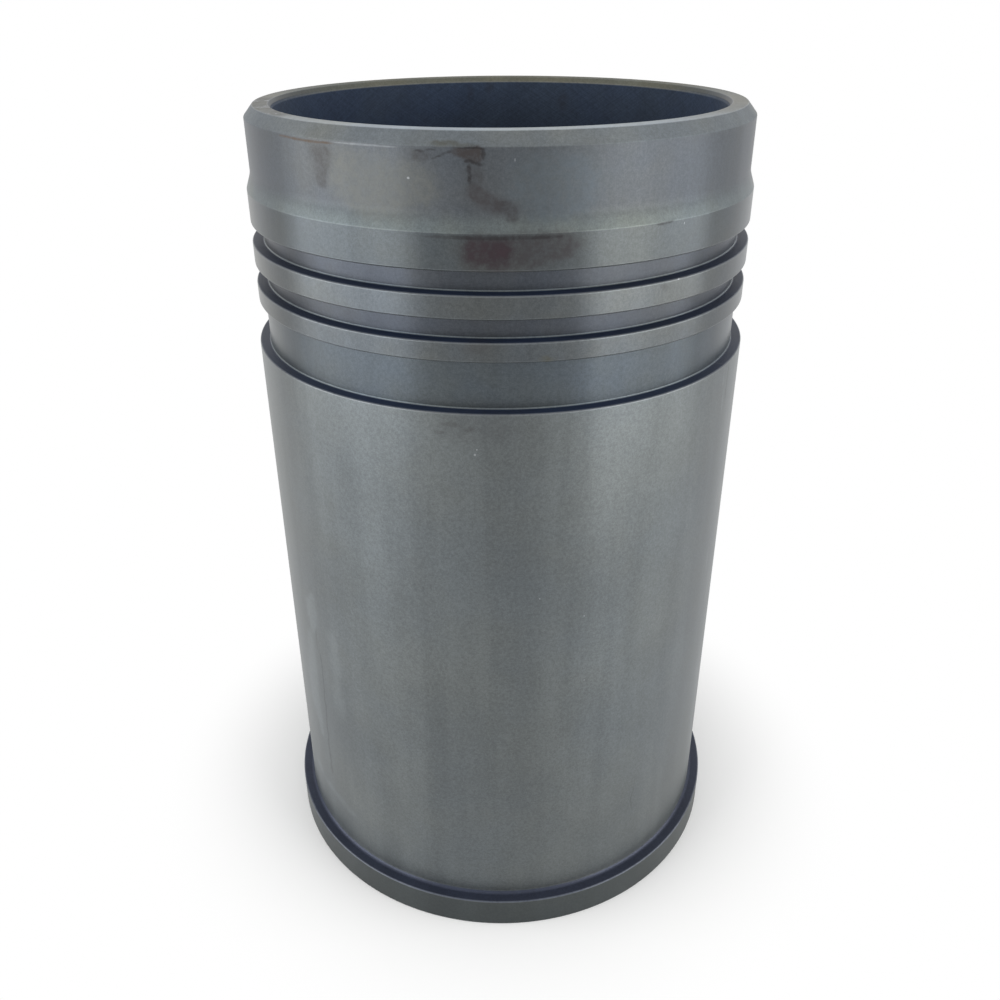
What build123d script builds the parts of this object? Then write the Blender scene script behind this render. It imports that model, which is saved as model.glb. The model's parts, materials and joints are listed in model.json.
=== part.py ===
from build123d import *
import os
from typing import NamedTuple

# Wet cylinder liner of a heavy diesel engine, turned from one iron casting.
# It stands on its flange. The deck face lies at z = 0 with the origin at its
# centre, the bore runs along +Z and the skirt end is on top.
# Lengths are in millimetres. A relief is a step inward from the barrel, and
# a depth is measured inward from the surface just above the feature.

# Bore and barrel
BORE_DIAMETER = 158.75
BARREL_WALL = 13.125
LINER_LENGTH = 312.0

# Flange, which the block's counterbore seats
FLANGE_STEP = 4.9
FLANGE_THICKNESS = 13.4
FLANGE_ROOT_RADIUS = 1.45

# Skirt end: chamfers, relieved lead band and the ramp up to the pilot
BORE_CHAMFER_DEPTH = 1.2
BORE_CHAMFER_LENGTH = 1.9
LEAD_CHAMFER_DEPTH = 3.2
LEAD_CHAMFER_LENGTH = 3.8
LEAD_CHAMFER_BLEND = 0.8
LEAD_RELIEF = 3.55
LEAD_BAND_LENGTH = 18.2
RAMP_LENGTH = 5.0
RAMP_BLEND = 8.0

# Lower pilot and the lands between the seal grooves
PILOT_RELIEF = 1.8
PILOT_LENGTH = 11.1
UPPER_LAND_RELIEF = 1.6
UPPER_LAND_LENGTH = 7.5
LOWER_LAND_RELIEF = 1.5
LOWER_LAND_LENGTH = 6.4

# Two O-ring grooves and the wide groove of the crevice seal
RING_GROOVE_WIDTH = 6.9
RING_GROOVE_DEPTH = 4.05
WIDE_GROOVE_WIDTH = 16.1
WIDE_GROOVE_DEPTH = 2.4
GROOVE_ROOT_BEVEL = 0.4

# Breaks on the sharp turned edges
EDGE_BREAK = 0.3
BORE_MOUTH_BREAK = 0.5

# Radii worked out from the sizes above
BORE_RADIUS = BORE_DIAMETER / 2
BARREL_RADIUS = BORE_RADIUS + BARREL_WALL
FLANGE_RADIUS = BARREL_RADIUS + FLANGE_STEP
LEAD_RADIUS = BARREL_RADIUS - LEAD_RELIEF
PILOT_RADIUS = BARREL_RADIUS - PILOT_RELIEF
UPPER_LAND_RADIUS = BARREL_RADIUS - UPPER_LAND_RELIEF
LOWER_LAND_RADIUS = BARREL_RADIUS - LOWER_LAND_RELIEF

# Heights of the skirt end's steps, from the end face down
CHAMFER_FOOT = LINER_LENGTH - LEAD_CHAMFER_LENGTH
RAMP_TOP = CHAMFER_FOOT - LEAD_BAND_LENGTH
RAMP_FOOT = RAMP_TOP - RAMP_LENGTH
PILOT_FOOT = RAMP_FOOT - PILOT_LENGTH


class Groove(NamedTuple):
    """A square groove: its two walls, and the radii above, at and below its floor."""

    top: float
    foot: float
    above: float
    floor: float
    below: float

    def mouth(self):
        """The two sharp corners where the walls meet the lands."""
        return [(self.above, self.top), (self.below, self.foot)]

    def roots(self):
        """The two corners where the walls meet the floor."""
        return [(self.floor, self.top), (self.floor, self.foot)]

    def outline(self):
        """All four corners, from the top down."""
        return [self.mouth()[0], *self.roots(), self.mouth()[1]]


def groove(top, width, depth, above, below):
    """Groove of one width, sunk by its depth under the surface above it."""
    return Groove(top, top - width, above, above - depth, below)


def seal_grooves():
    """The three grooves under the pilot, each starting where the land above ends."""
    first = groove(PILOT_FOOT, RING_GROOVE_WIDTH, RING_GROOVE_DEPTH,
                   PILOT_RADIUS, UPPER_LAND_RADIUS)
    second = groove(first.foot - UPPER_LAND_LENGTH, RING_GROOVE_WIDTH, RING_GROOVE_DEPTH,
                    UPPER_LAND_RADIUS, LOWER_LAND_RADIUS)
    wide = groove(second.foot - LOWER_LAND_LENGTH, WIDE_GROOVE_WIDTH, WIDE_GROOVE_DEPTH,
                  LOWER_LAND_RADIUS, BARREL_RADIUS)
    return [first, second, wide]


def skirt_end():
    """Corners of the end face, its two chamfers, the lead band and the ramp."""
    return [
        (BORE_RADIUS, LINER_LENGTH - BORE_CHAMFER_LENGTH),
        (BORE_RADIUS + BORE_CHAMFER_DEPTH, LINER_LENGTH),
        (LEAD_RADIUS - LEAD_CHAMFER_DEPTH, LINER_LENGTH),
        (LEAD_RADIUS, CHAMFER_FOOT),
        (LEAD_RADIUS, RAMP_TOP),
        (PILOT_RADIUS, RAMP_FOOT),
    ]


def flange_end():
    """Corners of the flange, from its root on the barrel to the bore mouth."""
    return [
        (BARREL_RADIUS, FLANGE_THICKNESS),
        (FLANGE_RADIUS, FLANGE_THICKNESS),
        (FLANGE_RADIUS, 0),
        (BORE_RADIUS, 0),
    ]


def vertices_at(section, corners):
    """The section's own vertices at the given radii and heights."""
    return [section.vertices().sort_by_distance((*corner, 0))[0] for corner in corners]


def wall_section():
    """Half section of the wall, with every root rounded and every edge broken."""
    grooves = seal_grooves()
    end, flange = skirt_end(), flange_end()
    groove_corners = [corner for one in grooves for corner in one.outline()]
    section = make_face(Polyline(*end, *groove_corners, *flange, close=True))

    root, rim, deck_edge, bore_mouth = flange
    groove_roots = [corner for one in grooves for corner in one.roots()]
    groove_mouths = [corner for one in grooves for corner in one.mouth()]
    section = fillet(vertices_at(section, [root]), FLANGE_ROOT_RADIUS)
    section = fillet(vertices_at(section, [(LEAD_RADIUS, RAMP_TOP)]), RAMP_BLEND)
    section = fillet(vertices_at(section, [(LEAD_RADIUS, CHAMFER_FOOT)]), LEAD_CHAMFER_BLEND)
    section = chamfer(vertices_at(section, groove_roots), GROOVE_ROOT_BEVEL)
    section = chamfer(vertices_at(section, [*groove_mouths, rim, deck_edge]), EDGE_BREAK)
    return chamfer(vertices_at(section, [bore_mouth]), BORE_MOUTH_BREAK)


def cylinder_liner():
    """The whole liner, its wall section turned about the bore."""
    return revolve(Plane.XZ * wall_section(), Axis.Z)


os.makedirs("parts", exist_ok=True)
export_step(cylinder_liner(), "parts/cylinder_liner.step")
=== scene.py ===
"""Visual model of a flanged wet cylinder liner that stands on its flange, with its studio."""
import json
import math
from typing import NamedTuple

import bpy
from mathutils import Matrix, Vector


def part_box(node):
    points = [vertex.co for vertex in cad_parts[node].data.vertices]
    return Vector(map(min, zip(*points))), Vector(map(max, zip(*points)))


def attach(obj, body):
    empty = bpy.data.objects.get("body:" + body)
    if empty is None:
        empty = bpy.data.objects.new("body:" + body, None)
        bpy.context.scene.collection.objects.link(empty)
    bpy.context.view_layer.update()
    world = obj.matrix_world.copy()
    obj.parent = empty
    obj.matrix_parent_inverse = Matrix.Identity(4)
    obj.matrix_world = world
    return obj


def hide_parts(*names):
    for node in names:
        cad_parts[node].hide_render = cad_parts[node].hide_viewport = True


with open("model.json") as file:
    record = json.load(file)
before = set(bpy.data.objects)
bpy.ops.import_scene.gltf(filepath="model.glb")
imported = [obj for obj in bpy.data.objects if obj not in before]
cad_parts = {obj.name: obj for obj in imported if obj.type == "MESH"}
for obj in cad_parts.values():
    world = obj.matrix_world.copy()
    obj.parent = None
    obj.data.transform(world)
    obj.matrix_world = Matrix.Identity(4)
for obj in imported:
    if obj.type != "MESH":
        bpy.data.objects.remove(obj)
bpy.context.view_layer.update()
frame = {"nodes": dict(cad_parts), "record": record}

NODE = "cylinder_liner"
LOW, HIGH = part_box(NODE)
TOP = HIGH.z
MOUNTS = {m["name"]: m for m in frame["record"]["mounts"]}
MM = 0.001
BORE = MOUNTS["bore"]["dims"]["r_mm"] * MM
BARREL = MOUNTS["barrel"]["dims"]["r_mm"] * MM
PILOT = MOUNTS["lower_pilot"]["dims"]["r_mm"] * MM

# Lathe: how finely the profile is turned and how its sharp corners are rounded
SEGMENTS = 360
SHARP_TURN = math.radians(15)
CORNER_TRIM = 0.30 * MM
CORNER_SHARE = 0.47
CORNER_STEPS = 4
WEAR_REACH = 0.4 * MM
WEAR_ROOM = 3 * WEAR_REACH
WORN_TURN = math.radians(30)
SEAM_TOLERANCE = 2e-6
SEAM_DIGITS = 6
UV_MARGIN = 0.002

# Camera: place, aim and lens of the photograph's view
CAMERA_BACK = 0.36464
CAMERA_HEIGHT = 0.34811
CAMERA_PITCH = math.radians(28.551)
CAMERA_YAW = math.radians(-0.4886)
CAMERA_ROLL = math.radians(-0.338)
CAMERA_LENS = 34.37
CAMERA_SENSOR = 36.0
CAMERA_SHIFT = 0.0067
CAMERA_CLIP = (0.01, 100.0)

# Iron skin, zone laid over zone: colour, metallic and roughness. Some zones carry painted shade
# or a painted highlight.
SKIN = [
    ("barrel", (0.108, 0.119, 0.123, 1), 0.75, 0.40),
    ("skirt", (0.067, 0.073, 0.080, 1), 0.62, 0.48),
    ("ramp", (0.104, 0.118, 0.119, 1), 0.62, 0.46),
    ("chamfer", (0.140, 0.152, 0.159, 1), 0.55, 0.70),
    ("land", (0.073, 0.080, 0.085, 1), 0.75, 0.35),
    ("pilot", (0.057, 0.064, 0.068, 1), 0.65, 0.35),
    ("recess", (0.048, 0.054, 0.065, 1), 0.60, 0.38),
    ("wide_recess", (0.059, 0.069, 0.078, 1), 0.65, 0.38),
    # Groove roots: the light colour is a painted highlight.
    ("root", (0.120, 0.140, 0.155, 1), 0.60, 0.40),
    # Flange: the dark colour is painted shade.
    ("flange", (0.035, 0.041, 0.042, 1), 0.40, 0.40),
    # Upward ledges under the lands: the dark navy colour is painted shade.
    ("ledge", (0.010, 0.020, 0.049, 1), 0.25, 0.52),
    # Root band between barrel and flange: the navy colour is painted shade.
    ("seat", (0.030, 0.036, 0.057, 1), 0.40, 0.40),
    # Top face: the light colour is a painted highlight.
    ("face", (0.318, 0.355, 0.385, 1), 0.60, 0.45),
    # Bore: the dark navy colour is painted shade.
    ("bore", (0.038, 0.055, 0.092, 1), 0.10, 0.88),
    # Sides and back of the top face, with the bore mouth at the back: these darker, more olive
    # copies of its colour are painted shade.
    ("side_face", (0.185, 0.186, 0.172, 1), 0.30, 0.60),
    ("back_face", (0.136, 0.137, 0.112, 1), 0.20, 0.70),
]
SPECULAR = 0.32
TURNED_STRETCH = 0.6
STRETCH_TURN = 0.25

# Zones: the wide groove's width, the soft edge between two zones, and where each mask starts
# and where it is full. A rise, fall or foot is counted from the end of a mount.
WIDE_GROOVE = 16.1 * MM
ZONE_EDGE = 0.15 * MM
OUTSIDE_RADII = (BORE + 4 * MM, BORE + 6 * MM)
BORE_RADII = (BORE + 0.5 * MM, BORE + 0.1 * MM)
RECESS_RADII = (PILOT - 0.5 * MM, PILOT - 1.0 * MM)
MOUTH_RADII = (BORE + 1.6 * MM, BORE + 1.2 * MM)
MOUTH_DROPS = (2.1 * MM, 1.9 * MM)
CHAMFER_DROPS = (4.2 * MM, 3.6 * MM)
FACE_DROPS = (0.6 * MM, 0.2 * MM)
# Spans across y where the top face gets painted shade at its sides and at its back.
FACE_SHADE_SIDES = (-80 * MM, -30 * MM)
FACE_SHADE_BACK = (0.0, 60 * MM)
SKIRT_RISE = 0.5 * MM
RAMP_RISES = (7.0 * MM, 0.8 * MM)
RAMP_FOOT = 0.2 * MM
FLANGE_FALL = 1.5 * MM
SEAT_RISE, SEAT_FALL = 0.2 * MM, 0.3 * MM

# How far up a surface faces, from -1 to 1, where a mask starts and where it is full
LEVEL = (0.70, 0.95)
SEAT_LEAN = (0.15, 0.5)
# Lean at which the painted shade on faces that face down starts and is full.
UNDER_SHADE_LEAN = (-0.2, -0.6)
WEAR_LEAN = (-0.3, 0.1)
# Lean of the groove roots that carry the painted highlight.
ROOT_HIGHLIGHT_LEAN, ROOT_HIGHLIGHT_EDGE = (0.25, 0.80), 0.1

# Noises over the skin: scale, detail and roughness
CLOUD = (30.0, 4.0, 0.6)
SPECKLE = (900.0, 2.0, 0.6)
GRAIN = (2300.0, 1.0, 0.5)
TARNISH = (16.0, 4.0, 0.62)
FRAY = (420.0, 4.0, 0.7)
PATCHES = (480.0, 3.0, 0.65)
HATCH = (95.0, 3.0, 0.6)
STREAK = (1.0, 3.0, 0.5)
TURNING = (1.0, 2.0, 0.6)
SWAY_SCALE, SWAY_DETAIL = 110.0, 3.0

# Scales across and up of the noises that are drawn out, and the lean of the hone lines
STREAK_SCALES = (90.0, 7.0)
TURNING_SCALES = (6.0, 2600.0)
HONE_LEAN = 1.7
HONE_UP = 0.25

# What the noises do to colour: their span, and how far they change it
CLOUD_SPAN, CLOUD_SHADE = (0.3, 0.7), 0.05
SPECKLE_SPAN, SPECKLE_SHADE = (0.25, 0.75), 0.10
STREAK_SPAN, STREAK_SHADE = (0.3, 0.7), 0.07
GRAIN_SPAN, GRAIN_SHADE = (0.25, 0.75), 0.09
HONE_SPAN, HONE_SHADE = (0.36, 0.64), 0.14
TARNISH_SPAN = (0.35, 0.65)
PATCH_SPAN, PATCH_LEAST = (0.35, 0.65), 0.60
# How far the painted shade darkens faces that face down.
UNDERSIDE_PAINTED_SHADE = 0.75

# What the noises do to gloss and relief
CLOUD_GLOSS = 0.12
SPECKLE_GLOSS = 0.06
STAIN_ROUGHNESS = 0.62
RELIEF_STRENGTH = 0.35
RELIEF_DEPTH = 0.02 * MM
TURNING_RELIEF = 0.35
SPECKLE_RELIEF = 0.4

# Edges of the marks, and the worn corners
RAGGED = 1.6
WANDER_ROUND, WANDER_DROP = 4 * MM, 3 * MM
WEAR_COLOUR = (0.420, 0.450, 0.480, 1)
WEAR_SPAN, WEAR_SHARE = (0.35, 1.1), 0.12

# Tints that tarnish takes, over whatever colour the zone has
COOL_TINT = (0.95, 0.992, 1.045, 1)
WARM_TINT = (1.035, 1.013, 0.94, 1)
NO_TINT = (1, 1, 1, 1)
BARREL_TINT = 0.35

# Colours of the marks
BROWN = (0.020, 0.015, 0.014, 1)
DARK = (0.007, 0.006, 0.007, 1)
SHADE = (0.026, 0.024, 0.026, 1)
MAROON = (0.019, 0.010, 0.014, 1)
RUST = (0.060, 0.037, 0.022, 1)
OLIVE = (0.050, 0.047, 0.028, 1)
# Pale colour of the dust on flecks and chips, and of the painted highlight along the chamfer's
# foot.
DUST_AND_HIGHLIGHT = (0.350, 0.365, 0.380, 1)
BLOOM = (0.200, 0.225, 0.235, 1)
DRIP = (0.060, 0.066, 0.066, 1)
DULL = (0.070, 0.070, 0.058, 1)
# Colour of the painted highlight on the skirt.
HIGHLIGHT_PALE = (0.104, 0.106, 0.092, 1)
BLUISH = (0.078, 0.099, 0.117, 1)

# Marks: degrees round from the front, mm below the top, half width and half height in mm
SMUDGE_HEAD = [(-8.0, 5.3, 2.2, 1.2), (-5.8, 5.6, 3.0, 1.7), (-4.0, 5.4, 1.9, 1.7),
               (-4.9, 7.2, 2.2, 1.2)]
SMUDGE_RIM = [(-11.6, 2.9, 2.4, 0.7), (-9.0, 3.2, 2.4, 0.9), (-6.4, 3.7, 2.6, 0.6)]
SMUDGE_EDGE = [(-5.9, 8.0, 1.5, 0.5), (-4.1, 8.5, 1.7, 0.6), (-6.0, 9.9, 0.7, 1.3),
               (-5.8, 12.4, 0.5, 1.7), (-3.0, 5.8, 0.7, 1.5), (-5.6, 4.4, 4.0, 0.3)]
SMUDGE_NECK = [(-4.6, 10.8, 2.6, 2.4), (-4.6, 14.0, 2.2, 2.0)]
SMUDGE_FOOT = [(-5.0, 15.4, 1.8, 2.0), (-4.0, 16.9, 2.5, 2.0), (-2.4, 18.2, 3.2, 2.3),
               (-0.6, 19.9, 3.4, 2.2)]
SMUDGE_TAIL = [(1.0, 19.6, 3.0, 1.7), (2.4, 21.2, 1.8, 1.7), (2.0, 23.2, 1.4, 1.1)]
WISPS = [(-14.6, 5.1, 1.5, 0.35), (-12.8, 4.6, 1.7, 0.35), (-12.2, 6.9, 0.8, 0.35),
         (-11.3, 6.4, 0.8, 0.35), (-10.4, 5.9, 0.9, 0.4), (-9.5, 5.4, 0.9, 0.45),
         (31.4, 27.2, 2.0, 0.4), (33.6, 26.8, 2.0, 0.4)]
HAZE = [(-14.4, 6.4, 3.4, 1.6)]
FAINT_SMUDGE = [(-36.0, 7.2, 4.2, 2.4), (-36.0, 10.0, 3.8, 2.6), (-36.2, 13.0, 2.8, 2.8),
                (-36.3, 15.8, 2.0, 2.2)]
PILOT_LINE = [(-9.0, 28.2, 9.0, 0.55), (-1.0, 28.3, 9.0, 0.6), (7.0, 28.2, 9.0, 0.55)]
PILOT_SHADE = [(-3.6, 32.4, 7.0, 5.2), (1.8, 33.0, 8.0, 5.2), (7.0, 31.8, 7.0, 4.6),
               (11.5, 31.0, 5.0, 3.6)]
PILOT_CORE = [(-4.4, 32.0, 3.8, 4.2), (-0.4, 32.8, 4.4, 4.6)]
PILOT_HEART = [(0.0, 32.6, 3.2, 2.6)]
# Painted highlight: a paler, warmer patch on the skirt left of the front.
SKIRT_PAINTED_HIGHLIGHT = [(-30.0, 13.0, 9.0, 8.0), (-21.0, 12.0, 9.0, 7.0), (-24.0, 20.0, 10.0, 5.0),
         (-14.0, 14.5, 6.0, 6.0)]
COOL_PATCH = [(6.0, 13.0, 8.0, 8.0), (14.0, 13.0, 9.0, 8.0), (10.0, 20.0, 10.0, 5.0)]
RUST_LINE = [(-47.0, 4.6, 3.4, 0.3), (-43.0, 4.8, 3.6, 0.4), (-38.5, 4.9, 3.8, 0.45),
             (-34.5, 4.8, 2.8, 0.35)]
OLIVE_MARK = [(9.2, 65.0, 3.0, 1.4)]
# Partly a brown stain and partly painted shade on the barrel's upper front.
BARREL_STAIN_AND_SHADE = [(-8.0, 86.0, 9.0, 6.0), (1.0, 85.5, 9.0, 6.0)]
BARREL_STAIN = [(-9.8, 86.0, 3.4, 0.9), (-5.9, 87.3, 2.2, 0.9), (-11.8, 88.6, 2.0, 0.7),
                (34.1, 46.6, 1.8, 1.0), (-4.5, 61.0, 4.6, 2.4)]
FLECKS = [(-16.9, 12.6, 0.5, 0.4), (2.7, 7.3, 0.15, 0.5), (-5.0, 95.9, 0.4, 0.4),
          (37.8, 28.4, 0.15, 0.4), (37.5, 45.3, 0.4, 0.3), (-4.6, 94.1, 0.25, 0.3),
          (8.4, 151.4, 0.25, 0.3), (18.6, 161.3, 0.25, 0.3), (19.4, 190.4, 0.25, 0.3)]
# Painted highlight along the foot of the chamfer.
CHAMFER_PAINTED_HIGHLIGHT = [(-31.0, 4.4, 3.0, 0.22), (-27.5, 4.4, 3.4, 0.30), (-24.0, 4.4, 3.4, 0.28),
          (-20.5, 4.5, 2.8, 0.20)]
BLOOMS = [(-52.9, 174.8, 2.4, 2.0), (-54.1, 180.0, 5.4, 3.6), (-54.3, 185.5, 4.2, 3.6),
          (-54.3, 190.5, 2.4, 3.0), (-56.4, 200.0, 4.0, 6.0), (-57.5, 211.0, 4.8, 7.0),
          (-58.6, 222.5, 5.6, 7.0), (-58.2, 233.0, 5.0, 6.0), (-57.0, 241.0, 3.6, 4.0),
          (-56.0, 247.0, 2.2, 3.0), (58.0, 86.0, 0.6, 6.0), (59.0, 96.0, 0.6, 6.0)]
STREAKS = [(-44.9, 189.0, 4.2, 4.5), (-44.6, 200.0, 4.6, 7.0), (-45.0, 218.0, 4.0, 10.0),
           (-62.0, 274.0, 5.0, 2.4), (-55.5, 277.0, 6.0, 2.2), (-49.0, 278.6, 5.5, 2.0),
           (-44.5, 280.6, 4.0, 1.6), (64.1, 140.5, 0.6, 5.0), (62.2, 166.0, 0.7, 7.0),
           (65.3, 183.4, 0.8, 8.0), (68.0, 201.2, 0.8, 8.0)]
DRIPS = [(-52.7, 195.5, 0.5, 6.0), (-51.8, 206.0, 0.5, 7.0), (-51.9, 218.0, 0.5, 8.0),
         (-52.0, 230.0, 0.6, 7.0), (-52.3, 242.0, 0.7, 7.0), (-52.7, 254.0, 0.8, 7.0),
         (-52.6, 264.0, 0.9, 5.0), (36.0, 262.0, 0.4, 9.0), (61.0, 90.0, 0.6, 9.0)]
CHIPS = [(-84.0, 0.2, 12.0, 3.0), (-70.0, 0.2, 10.0, 3.0), (-57.0, 0.2, 8.0, 3.0)]
BORE_SPOTS = [(-171.0, 6.0, 2.0, 4.0), (-177.0, 4.0, 2.6, 3.0), (160.0, 9.0, 3.0, 4.0)]


class Mark(NamedTuple):
    """How one group of spots is laid on the skin."""

    spots: list
    zone: str
    colour: tuple
    strength: float
    soft: float
    dull: float = 0.0
    wander: bool = True
    level: float = 0.5


MARKS = [
    # Painted highlight on the skirt.
    Mark(SKIRT_PAINTED_HIGHLIGHT, "outside", HIGHLIGHT_PALE, 0.45, 0.49, dull=0.1),
    Mark(COOL_PATCH, "outside", BLUISH, 0.50, 0.49),
    Mark(PILOT_SHADE, "outside", SHADE, 0.90, 0.45, dull=0.6),
    Mark(PILOT_CORE, "outside", MAROON, 0.80, 0.42, dull=0.7),
    Mark(PILOT_HEART, "outside", MAROON, 0.80, 0.42, dull=0.9),
    Mark(PILOT_LINE, "outside", DARK, 0.60, 0.45, dull=0.5, wander=False),
    Mark(HAZE, "outside", BROWN, 0.45, 0.45, dull=0.3),
    Mark(FAINT_SMUDGE, "outside", BROWN, 0.46, 0.48, dull=0.2),
    Mark(SMUDGE_RIM, "outside", OLIVE, 0.60, 0.48, dull=0.4),
    Mark(SMUDGE_NECK, "outside", SHADE, 0.48, 0.45, dull=0.3),
    Mark(SMUDGE_TAIL, "outside", SHADE, 0.75, 0.45, dull=0.5),
    Mark(SMUDGE_FOOT, "outside", SHADE, 0.92, 0.45, dull=0.85),
    Mark(SMUDGE_HEAD, "outside", BROWN, 0.88, 0.40, dull=0.85),
    Mark(SMUDGE_EDGE, "outside", DARK, 0.90, 0.40, dull=0.9),
    Mark(WISPS, "outside", DARK, 0.62, 0.40, dull=0.5),
    Mark(RUST_LINE, "outside", RUST, 0.85, 0.40, dull=0.8, wander=False),
    Mark(OLIVE_MARK, "outside", OLIVE, 0.50, 0.40, dull=0.3),
    # Partly a brown stain and partly painted shade on the barrel's upper front.
    Mark(BARREL_STAIN_AND_SHADE, "outside", SHADE, 0.24, 0.48, dull=0.1),
    Mark(BARREL_STAIN, "outside", BROWN, 0.35, 0.45, dull=0.3),
    Mark(BLOOMS, "outside", BLOOM, 0.34, 0.42),
    Mark(STREAKS, "outside", BLOOM, 0.24, 0.42),
    Mark(DRIPS, "outside", DRIP, 0.60, 0.35, dull=0.3),
    # Painted highlight along the foot of the chamfer.
    Mark(CHAMFER_PAINTED_HIGHLIGHT, "outside", DUST_AND_HIGHLIGHT, 0.20, 0.48, wander=False),
    Mark(FLECKS, "outside", DUST_AND_HIGHLIGHT, 0.60, 0.20, wander=False),
    Mark(CHIPS, "face", DULL, 0.80, 0.45, dull=0.5),
    Mark(CHIPS, "face", DUST_AND_HIGHLIGHT, 0.80, 0.10, level=1.02),
    Mark(BORE_SPOTS, "bore", BROWN, 0.30, 0.45, dull=0.3),
]

# Studio
WHITE = (1, 1, 1, 1)
FLOOR_COLOUR = (0.96, 0.96, 0.955, 1)
FLOOR_SIZE = 60.0
FLOOR_DROP = 0.00005
FADE_START, FADE_END = 0.10, 0.17
AMBIENT = 0.75
LAMP_SIDE = 0.5
LAMPS = [
    ("lamp_right_front", (0.73, -0.61, 0.22), 4.8),
    ("lamp_right_side", (0.93, -0.16, 0.22), 3.4),
    ("lamp_left_front", (-0.73, -0.61, 0.22), 4.1),
    ("lamp_left_side", (-0.93, -0.16, 0.22), 4.0),
]


# ---------------------------------------------------------------- profile

def seam_links(mesh):
    """Joined (radius, height) points of the mesh on its seam, the half plane y = 0, x > 0."""
    on_seam = {v.index: (round(v.co.x, SEAM_DIGITS), round(v.co.z, SEAM_DIGITS))
               for v in mesh.vertices if v.co.x > 0 and abs(v.co.y) < SEAM_TOLERANCE}
    links = {}
    for edge in mesh.edges:
        ends = [on_seam.get(i) for i in edge.vertices]
        if None not in ends and ends[0] != ends[1]:
            links.setdefault(ends[0], set()).add(ends[1])
            links.setdefault(ends[1], set()).add(ends[0])
    return links


def wall_profile(mesh):
    """The wall's closed outline, from the bore mouth out across the deck face and round."""
    links = seam_links(mesh)
    if any(len(near) != 2 for near in links.values()):
        raise ValueError("the seam of the packed liner isn't one closed outline")
    foot = min(z for _, z in links)
    start = min(p for p in links if p[1] == foot)
    loop, here, last = [start], max(links[start]), start
    while here != start:
        loop.append(here)
        here, last = next(p for p in links[here] if p != last), here
    return loop


def unit(a, b):
    """Direction and length from point a to point b."""
    dr, dz = b[0] - a[0], b[1] - a[1]
    length = math.hypot(dr, dz)
    return dr / length, dz / length, length


def corner_arc(point, before, after, turn):
    """Points and normals of the arc that rounds one sharp corner."""
    trim = min(CORNER_TRIM, CORNER_SHARE * before[2], CORNER_SHARE * after[2])
    radius = trim / math.tan(abs(turn) / 2)
    side = math.copysign(1, turn)
    start = (point[0] - before[0] * trim, point[1] - before[1] * trim)
    centre = (start[0] - before[1] * radius * side, start[1] + before[0] * radius * side)
    first = math.atan2(-before[0], before[1])
    arc = []
    for step in range(CORNER_STEPS + 1):
        angle = first + turn * step / CORNER_STEPS
        normal = (math.cos(angle), math.sin(angle))
        arc.append((centre[0] + normal[0] * radius * side,
                    centre[1] + normal[1] * radius * side, *normal))
    return arc


def edge_rows(point, before, after, turn):
    """Rows of one sharp corner. An outer edge is worn, and its wear ends a little way off."""
    worn = float(turn > WORN_TURN)
    rows = [(*row, worn) for row in corner_arc(point, before, after, turn)]
    ends = []
    for side, step in ((before, -WEAR_REACH), (after, WEAR_REACH)):
        far = (point[0] + side[0] * step, point[1] + side[1] * step, side[1], -side[0], 0.0)
        ends.append([far] if worn and side[2] > WEAR_ROOM else [])
    return ends[0] + rows + ends[1]


def smooth_point(point, before, after):
    """A point on a gentle bend, its normal led by the longer of the two sides."""
    nr = before[1] * before[2] ** 2 + after[1] * after[2] ** 2
    nz = -before[0] * before[2] ** 2 - after[0] * after[2] ** 2
    size = math.hypot(nr, nz)
    return [(*point, nr / size, nz / size, 0.0)]


def turned_profile(loop):
    """The outline with its sharp corners rounded: radius, height, normal and wear of each row."""
    turned = []
    for i, point in enumerate(loop):
        before = unit(loop[i - 1], point)
        after = unit(point, loop[(i + 1) % len(loop)])
        turn = math.atan2(before[0] * after[1] - before[1] * after[0],
                          before[0] * after[0] + before[1] * after[1])
        if abs(turn) > SHARP_TURN:
            turned += edge_rows(point, before, after, turn)
        else:
            turned += smooth_point(point, before, after)
    return turned


def strip_heights(profile):
    """Place of each profile point along the outline, from 0 to 1."""
    closed = profile + profile[:1]
    along = [0.0]
    for a, b in zip(closed, closed[1:]):
        along.append(along[-1] + math.hypot(b[0] - a[0], b[1] - a[1]))
    return [a / along[-1] for a in along]


def turned_piece(name, profile):
    """The profile turned about the bore, with a strip map that unrolls it."""
    rows, count = len(profile), SEGMENTS
    turns = [math.tau * j / count for j in range(count)]
    verts = [(r * math.cos(t), r * math.sin(t), z) for r, z, *_ in profile for t in turns]
    faces, corners = [], []
    for i in range(rows):
        for j in range(count):
            a, b = i, (i + 1) % rows
            c, d = j, (j + 1) % count
            faces.append((a * count + c, a * count + d, b * count + d, b * count + c))
            corners += [(i, j), (i, j + 1), (i + 1, j + 1), (i + 1, j)]
    mesh = bpy.data.meshes.new(name)
    mesh.from_pydata(verts, [], faces)
    heights = strip_heights(profile)
    span = 1 - 2 * UV_MARGIN
    layer = mesh.uv_layers.new(name="OFBake")
    for loop, (i, j) in zip(layer.data, corners):
        loop.uv = (UV_MARGIN + span * j / count, UV_MARGIN + span * heights[i])
    mesh.polygons.foreach_set("use_smooth", [True] * len(faces))
    mesh.normals_split_custom_set_from_vertices(
        [(nr * math.cos(t), nr * math.sin(t), nz) for _, _, nr, nz, _ in profile for t in turns])
    wear = mesh.attributes.new("wear", "FLOAT", "POINT")
    wear.data.foreach_set("value", [worn for *_, worn in profile for _ in turns])
    piece = bpy.data.objects.new(name, mesh)
    bpy.context.scene.collection.objects.link(piece)
    return piece


# ---------------------------------------------------------------- material

# Sockets of a Mix node that take the factor and the two values, and its colour result
NUMBER_SOCKETS = (0, 2, 3)
COLOUR_SOCKETS = (0, 6, 7)
COLOUR_RESULT = 2


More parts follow.
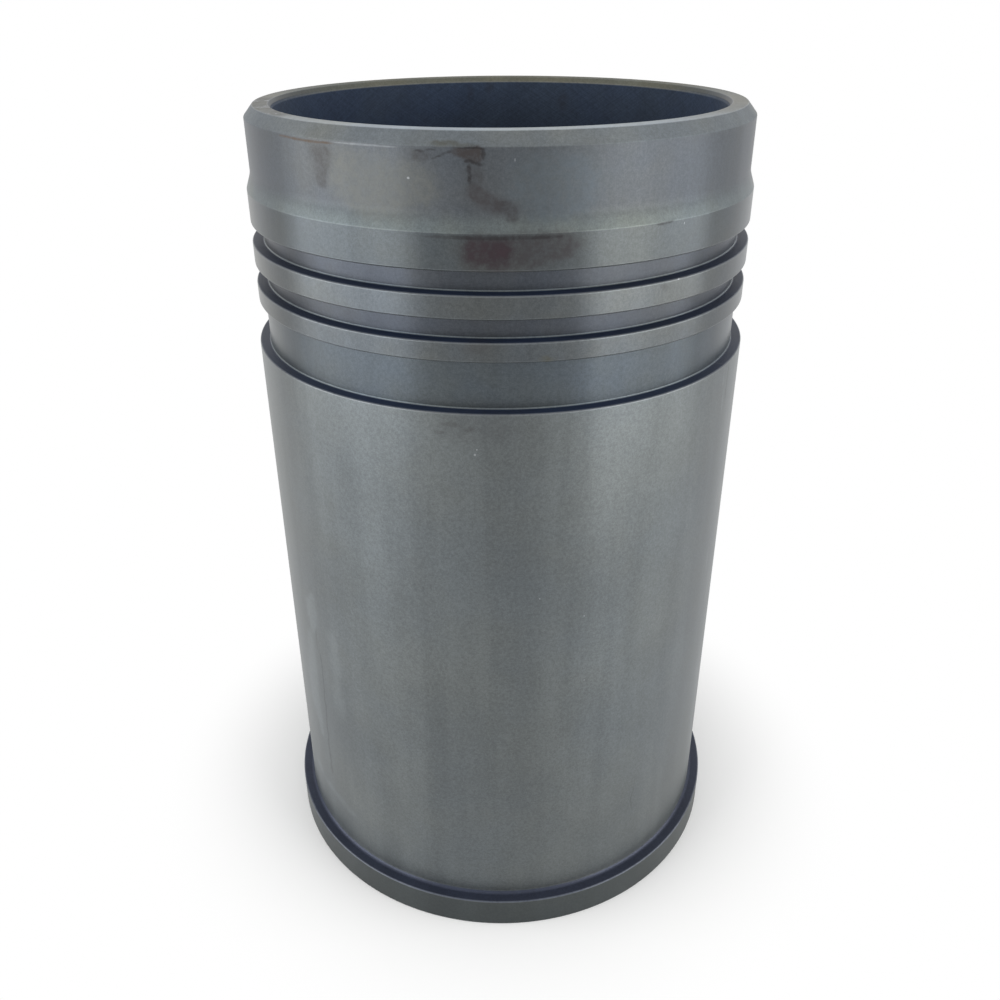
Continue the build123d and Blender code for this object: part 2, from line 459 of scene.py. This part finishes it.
class Graph:
    """Short ways to add nodes to one tree."""

    def __init__(self, tree):
        self.tree = tree
        tree.nodes.clear()

    def put(self, value, socket):
        """Set a socket, or link it where the value comes from another node."""
        if isinstance(value, bpy.types.NodeSocket):
            self.tree.links.new(value, socket)
        else:
            socket.default_value = value

    def add(self, kind, inputs=None, **settings):
        """A new node with its settings made and its inputs filled."""
        node = self.tree.nodes.new(kind)
        for name, value in settings.items():
            setattr(node, name, value)
        for name, value in (inputs or {}).items():
            self.put(value, node.inputs[name])
        return node

    def math(self, operation, *values):
        node = self.add("ShaderNodeMath", dict(enumerate(values)), operation=operation)
        return node.outputs[0]

    def both(self, a, b):
        """Where both masks hold."""
        return self.math("MULTIPLY", a, b)

    def ramp(self, value, low, high, to_low=0.0, to_high=1.0):
        """A smooth change from one level to another while the value goes from low to high."""
        node = self.add("ShaderNodeMapRange", {
            "Value": value, "From Min": low, "From Max": high,
            "To Min": to_low, "To Max": to_high}, interpolation_type="SMOOTHSTEP")
        return node.outputs["Result"]

    def mix(self, factor, a, b, blend="MIX"):
        """Colour a with colour b laid over it by the factor."""
        node = self.add("ShaderNodeMix", data_type="RGBA", blend_type=blend)
        for socket, value in zip(COLOUR_SOCKETS, (factor, a, b)):
            self.put(value, node.inputs[socket])
        return node.outputs[COLOUR_RESULT]

    def blend(self, factor, a, b):
        """Number a moved towards number b by the factor."""
        node = self.add("ShaderNodeMix", data_type="FLOAT")
        for socket, value in zip(NUMBER_SOCKETS, (factor, a, b)):
            self.put(value, node.inputs[socket])
        return node.outputs[0]

    def vary(self, noise, span, reach):
        """A factor about 1 that goes up or down by the reach as the noise crosses its span."""
        return self.ramp(noise, *span, 1 - reach, 1 + reach)

    def shift(self, value, noise, reach):
        """The value moved by up to half the reach either way as the noise goes."""
        return self.math("MULTIPLY_ADD", self.math("SUBTRACT", noise, 0.5), reach, value)

    def point(self, x, y, z):
        return self.add("ShaderNodeCombineXYZ", {"X": x, "Y": y, "Z": z}).outputs[0]

    def noise(self, vector, scale, detail, roughness):
        node = self.add("ShaderNodeTexNoise", {
            "Vector": vector, "Scale": scale, "Detail": detail, "Roughness": roughness})
        return node.outputs[0]

    def stretched(self, place, across, along):
        """Noise vector drawn out round the liner or up it."""
        return self.point(self.math("MULTIPLY", place["x"], across),
                          self.math("MULTIPLY", place["y"], across),
                          self.math("MULTIPLY", place["z"], along))


def liner_place(g):
    """Where a point is on the liner, which way it faces, and how edges wander and fray there."""
    place = {"object": g.add("ShaderNodeTexCoord").outputs["Object"]}
    split = g.add("ShaderNodeSeparateXYZ", {0: place["object"]}).outputs
    place["x"], place["y"], place["z"] = split
    square = g.math("ADD", g.math("MULTIPLY", place["x"], place["x"]),
                    g.math("MULTIPLY", place["y"], place["y"]))
    place["radius"] = g.math("SQRT", square)
    place["turn"] = g.math("ARCTAN2", place["x"], g.math("MULTIPLY", place["y"], -1.0))
    place["round"] = g.math("MULTIPLY", place["turn"], BARREL)
    place["drop"] = g.math("SUBTRACT", TOP, place["z"])
    normal = g.add("ShaderNodeNewGeometry").outputs["Normal"]
    place["up"] = g.add("ShaderNodeSeparateXYZ", {0: normal}).outputs[2]
    fray = g.noise(place["object"], *FRAY)
    place["ragged"] = g.math("MULTIPLY", g.math("SUBTRACT", fray, 0.5), RAGGED)
    sway = g.add("ShaderNodeTexNoise", {"Vector": place["object"], "Scale": SWAY_SCALE,
                                        "Detail": SWAY_DETAIL}).outputs["Color"]
    sway = g.add("ShaderNodeSeparateXYZ", {0: sway}).outputs
    place["warped_round"] = g.shift(place["round"], sway[0], WANDER_ROUND)
    place["warped_drop"] = g.shift(place["drop"], sway[1], WANDER_DROP)
    place["wear"] = g.add("ShaderNodeAttribute", attribute_name="wear").outputs["Fac"]
    return place


def mark_mask(g, place, mark):
    """Mask of a group of oval spots that run together, with wandering, ragged edges."""
    total = 0.0
    prefix = "warped_" if mark.wander else ""
    for degrees, drop, half_width, half_height in mark.spots:
        across = g.math("DIVIDE", g.math("SUBTRACT", place[prefix + "round"],
                                         math.radians(degrees) * BARREL), half_width * MM)
        down = g.math("DIVIDE", g.math("SUBTRACT", place[prefix + "drop"], drop * MM),
                      half_height * MM)
        reach = g.math("ADD", g.math("MULTIPLY", across, across),
                       g.math("MULTIPLY", down, down))
        total = g.math("ADD", total, g.math("EXPONENT", g.math("MULTIPLY", reach, -1.0)))
    total = g.math("MULTIPLY_ADD", total, place["ragged"], total)
    mask = g.ramp(total, mark.level - mark.soft, mark.level + mark.soft)
    return g.both(mask, place[mark.zone])


def hatch_lines(g, place, lean):
    """One family of hone lines: fine across a helix and long along it."""
    turn = g.math("ADD", place["turn"], g.math("MULTIPLY", place["z"], lean / BORE))
    vector = g.point(g.math("COSINE", turn), g.math("SINE", turn),
                     g.math("MULTIPLY", place["z"], HONE_UP))
    return g.noise(vector, *HATCH)


def hone_lines(g, place):
    """The two families of hone lines that cross in the bore."""
    return g.math("MULTIPLY", g.math("ADD", hatch_lines(g, place, HONE_LEAN),
                                     hatch_lines(g, place, -HONE_LEAN)), 0.5)


def between(g, value, low, high, edge=ZONE_EDGE):
    """1 where the value lies between two limits, with a short soft edge."""
    return g.both(g.ramp(value, low - edge, low + edge),
                  g.ramp(value, high + edge, high - edge))


def mount_span(name):
    """Lowest and highest z of a mount that runs along the bore."""
    mount = MOUNTS[name]
    half = mount["dims"]["length_mm"] * MM / 2
    return mount["pos_m"][2] - half, mount["pos_m"][2] + half


def skin_zones(g, place):
    """Masks of the zones that were turned, ground or honed apart, and of the zones of painted
    shade and painted highlight.
    """
    z, up, radius, drop = place["z"], place["up"], place["radius"], place["drop"]
    barrel_foot, barrel_top = mount_span("barrel")
    pilot_foot, pilot_top = mount_span("lower_pilot")
    outside = g.ramp(radius, *OUTSIDE_RADII)
    level = g.ramp(up, *LEVEL)
    seals = between(g, z, barrel_top, pilot_top)
    deep = g.both(seals, g.ramp(radius, *RECESS_RADII))
    mouth = g.both(g.ramp(drop, *MOUTH_DROPS), g.ramp(radius, *MOUTH_RADII))
    ramp_high, ramp_full = RAMP_RISES
    place["outside"] = outside
    place["bore"] = g.ramp(radius, *BORE_RADII)
    place["skirt"] = g.ramp(z, barrel_top, barrel_top + SKIRT_RISE)
    place["ramp"] = g.both(g.ramp(z, pilot_top + ramp_high, pilot_top + ramp_full),
                           g.ramp(z, pilot_top - RAMP_FOOT, pilot_top))
    place["chamfer"] = g.both(g.ramp(drop, *CHAMFER_DROPS), outside)
    place["recess"] = g.both(deep, outside)
    place["wide_recess"] = g.both(place["recess"],
                                  between(g, z, barrel_top, barrel_top + WIDE_GROOVE))
    # Painted highlight on the groove roots.
    place["root"] = g.both(place["recess"], between(g, up, *ROOT_HIGHLIGHT_LEAN, ROOT_HIGHLIGHT_EDGE))
    place["land"] = g.math("SUBTRACT", seals, deep)
    place["pilot"] = g.both(place["land"], between(g, z, pilot_foot, pilot_top))
    # Painted shade on the flange.
    place["flange"] = g.both(g.ramp(z, barrel_foot, barrel_foot - FLANGE_FALL), outside)
    # Painted shade on the upward ledges under the lands.
    place["ledge"] = g.both(g.both(level, outside), g.ramp(z, pilot_top, pilot_foot))
    # Painted shade on the root band between barrel and flange.
    place["seat"] = g.both(g.both(g.ramp(up, *SEAT_LEAN), outside),
                           g.ramp(z, barrel_foot + SEAT_RISE, barrel_foot - SEAT_FALL))
    # Top face with its painted highlight, and painted shade at its sides and back.
    place["face"] = g.both(g.ramp(drop, *FACE_DROPS), level)
    place["side_face"] = g.both(place["face"], g.ramp(place["y"], *FACE_SHADE_SIDES))
    place["back_face"] = g.both(g.math("MAXIMUM", place["face"], mouth),
                                g.ramp(place["y"], *FACE_SHADE_BACK))


def mottled(g, place, colour, cloud, speckle, hatch):
    """The colour with clouds, grain, streaks and hone lines, here cooler and there warmer, and
    painted shade on faces that face down.
    """
    grain = g.noise(place["object"], *GRAIN)
    streak = g.noise(g.stretched(place, *STREAK_SCALES), *STREAK)
    hone = g.blend(place["bore"], 1.0, g.vary(hatch, HONE_SPAN, HONE_SHADE))
    value = g.both(g.vary(cloud, CLOUD_SPAN, CLOUD_SHADE),
                   g.vary(speckle, SPECKLE_SPAN, SPECKLE_SHADE))
    value = g.both(value, g.vary(streak, STREAK_SPAN, STREAK_SHADE))
    value = g.both(value, g.vary(grain, GRAIN_SPAN, GRAIN_SHADE))
    value = g.both(value, hone)
    # Painted shade: faces that face down are darkened.
    value = g.both(value, g.ramp(place["up"], *UNDER_SHADE_LEAN, 1.0, UNDERSIDE_PAINTED_SHADE))
    grey = g.add("ShaderNodeCombineColor", {0: value, 1: value, 2: value}).outputs[0]
    tarnish = g.ramp(g.noise(place["object"], *TARNISH), *TARNISH_SPAN)
    tint = g.mix(tarnish, COOL_TINT, WARM_TINT)
    tint = g.mix(g.ramp(place["skirt"], 0.0, 1.0, BARREL_TINT, 1.0), NO_TINT, tint)
    colour = g.mix(1.0, colour, tint, "MULTIPLY")
    return g.mix(1.0, colour, grey, "MULTIPLY")


def stained(g, place, colour):
    """The colour with the liner's marks laid on, each patchy within, and how far they dull it.
    Most marks are stains; a few are painted highlight or painted shade.
    """
    patchy = g.ramp(g.noise(place["object"], *PATCHES), *PATCH_SPAN, PATCH_LEAST, 1.0)
    soil = 0.0
    for mark in MARKS:
        mask = g.both(mark_mask(g, place, mark), patchy)
        colour = g.mix(g.math("MULTIPLY", mask, mark.strength), colour, mark.colour)
        if mark.dull:
            soil = g.math("MAXIMUM", soil, g.math("MULTIPLY", mask, mark.dull))
    return colour, soil


def skin_finish(g, place):
    """Colour, metallic and roughness of the zones, laid one over the other."""
    _, colour, metal, rough = SKIN[0]
    for zone, tint, metallic, roughness in SKIN[1:]:
        colour = g.mix(place[zone], colour, tint)
        metal = g.blend(place[zone], metal, metallic)
        rough = g.blend(place[zone], rough, roughness)
    return colour, metal, rough


def worn_share(g, place):
    """How far a broken edge is rubbed bare: unevenly, and not where it faces down."""
    worn = g.math("MULTIPLY_ADD", place["wear"], place["ragged"], place["wear"])
    worn = g.ramp(worn, *WEAR_SPAN, 0.0, WEAR_SHARE)
    return g.both(worn, g.ramp(place["up"], *WEAR_LEAN))


def relief(g, place, speckle, hatch):
    """Bump of the hone lines inside, the turning lines outside and the grain all over."""
    turning = g.noise(g.stretched(place, *TURNING_SCALES), *TURNING)
    height = g.math("ADD", g.both(hatch, place["bore"]),
                    g.math("MULTIPLY", g.both(turning, place["outside"]), TURNING_RELIEF))
    height = g.math("ADD", height, g.math("MULTIPLY", speckle, SPECKLE_RELIEF))
    return g.add("ShaderNodeBump", {"Height": height, "Strength": RELIEF_STRENGTH,
                                    "Distance": RELIEF_DEPTH}).outputs[0]


def iron_material():
    """Dark satin iron: turned outside, honed inside, handled and a little stained, with painted
    shade and painted highlight in some zones and marks.
    """
    material = bpy.data.materials.new("liner_iron")
    material.use_nodes = True
    g = Graph(material.node_tree)
    place = liner_place(g)
    skin_zones(g, place)
    cloud = g.noise(place["object"], *CLOUD)
    speckle = g.noise(place["object"], *SPECKLE)
    hatch = hone_lines(g, place)
    colour, metal, rough = skin_finish(g, place)
    colour = mottled(g, place, colour, cloud, speckle, hatch)
    colour, soil = stained(g, place, colour)
    colour = g.mix(worn_share(g, place), colour, WEAR_COLOUR)
    metal = g.blend(soil, metal, 0.0)
    rough = g.blend(soil, rough, STAIN_ROUGHNESS)
    rough = g.shift(g.shift(rough, cloud, CLOUD_GLOSS), speckle, SPECKLE_GLOSS)
    tangent = g.add("ShaderNodeTangent", direction_type="RADIAL", axis="Z").outputs[0]
    shader = g.add("ShaderNodeBsdfPrincipled", {
        "Base Color": colour, "Metallic": metal, "Specular IOR Level": SPECULAR,
        "Roughness": rough, "Normal": relief(g, place, speckle, hatch),
        "Anisotropic": TURNED_STRETCH, "Anisotropic Rotation": STRETCH_TURN,
        "Tangent": tangent})
    g.add("ShaderNodeOutputMaterial", {"Surface": shader.outputs[0]})
    return material


# ---------------------------------------------------------------- studio

def shown_rays(g):
    """1 for rays that show the background: camera, glossy and transmission rays."""
    rays = g.add("ShaderNodeLightPath").outputs
    bent = g.math("MAXIMUM", rays["Is Glossy Ray"], rays["Is Transmission Ray"])
    return g.math("MAXIMUM", rays["Is Camera Ray"], bent)


def make_world():
    """White where it shows, and a plain soft ambient light."""
    world = bpy.data.worlds.new("studio")
    bpy.context.scene.world = world
    world.use_nodes = True
    g = Graph(world.node_tree)
    strength = g.ramp(shown_rays(g), 0.0, 1.0, AMBIENT, 1.0)
    light = g.add("ShaderNodeBackground", {"Color": WHITE, "Strength": strength})
    g.add("ShaderNodeOutputWorld", {"Surface": light.outputs[0]})


def floor_material():
    """Plain pale floor that takes the shadow near the object and fades to white far off."""
    material = bpy.data.materials.new("floor")
    material.use_nodes = True
    g = Graph(material.node_tree)
    place = g.add("ShaderNodeTexCoord").outputs["Object"]
    distance = g.add("ShaderNodeVectorMath", {0: place}, operation="LENGTH").outputs["Value"]
    fade = g.math("MULTIPLY", g.ramp(distance, FADE_START, FADE_END), shown_rays(g))
    matt = g.add("ShaderNodeBsdfDiffuse", {"Color": FLOOR_COLOUR})
    white = g.add("ShaderNodeEmission", {"Color": WHITE, "Strength": 1.0})
    mixed = g.add("ShaderNodeMixShader", {0: fade, 1: matt.outputs[0], 2: white.outputs[0]})
    g.add("ShaderNodeOutputMaterial", {"Surface": mixed.outputs[0]})
    return material


def make_floor():
    """Wide level floor just under the flange."""
    half, drop = FLOOR_SIZE / 2, LOW.z - FLOOR_DROP
    mesh = bpy.data.meshes.new("floor")
    mesh.from_pydata([(-half, -half, drop), (half, -half, drop), (half, half, drop),
                      (-half, half, drop)], [], [(0, 1, 2, 3)])
    mesh.materials.append(floor_material())
    floor = bpy.data.objects.new("floor", mesh)
    bpy.context.scene.collection.objects.link(floor)


def make_lamps():
    """Large soft lamps that all aim at the middle of the liner."""
    aim = Vector((0, 0, (LOW.z + TOP) / 2))
    for name, place, power in LAMPS:
        light = bpy.data.lights.new(name, "AREA")
        light.shape = "SQUARE"
        light.size = LAMP_SIDE
        light.energy = power
        lamp = bpy.data.objects.new(name, light)
        lamp.location = place
        lamp.visible_camera = False
        lamp.rotation_euler = (aim - Vector(place)).to_track_quat("-Z", "Y").to_euler()
        bpy.context.scene.collection.objects.link(lamp)


def make_camera():
    """Camera at the photograph's place, aim and lens."""
    forward = Vector((math.sin(CAMERA_YAW) * math.cos(CAMERA_PITCH),
                      math.cos(CAMERA_YAW) * math.cos(CAMERA_PITCH), -math.sin(CAMERA_PITCH)))
    level = Vector((math.cos(CAMERA_YAW), -math.sin(CAMERA_YAW), 0))
    upright = level.cross(forward)
    right = level * math.cos(CAMERA_ROLL) + upright * math.sin(CAMERA_ROLL)
    up = upright * math.cos(CAMERA_ROLL) - level * math.sin(CAMERA_ROLL)
    data = bpy.data.cameras.new("camera")
    data.lens, data.sensor_width, data.shift_x = CAMERA_LENS, CAMERA_SENSOR, CAMERA_SHIFT
    data.clip_start, data.clip_end = CAMERA_CLIP
    camera = bpy.data.objects.new("camera", data)
    turn = Matrix((right, up, -forward)).transposed().to_4x4()
    camera.matrix_world = Matrix.Translation((0, -CAMERA_BACK, CAMERA_HEIGHT)) @ turn
    bpy.context.scene.collection.objects.link(camera)
    bpy.context.scene.camera = camera


def make_liner():
    """The turned piece in its iron, in place of the plain solid."""
    profile = turned_profile(wall_profile(frame["nodes"][NODE].data))
    liner = turned_piece("liner", profile)
    liner.data.materials.append(iron_material())
    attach(liner, "root")
    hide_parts(NODE)


make_camera()
make_world()
make_lamps()
make_floor()
make_liner()
bpy.context.scene.view_settings.view_transform = "Standard"
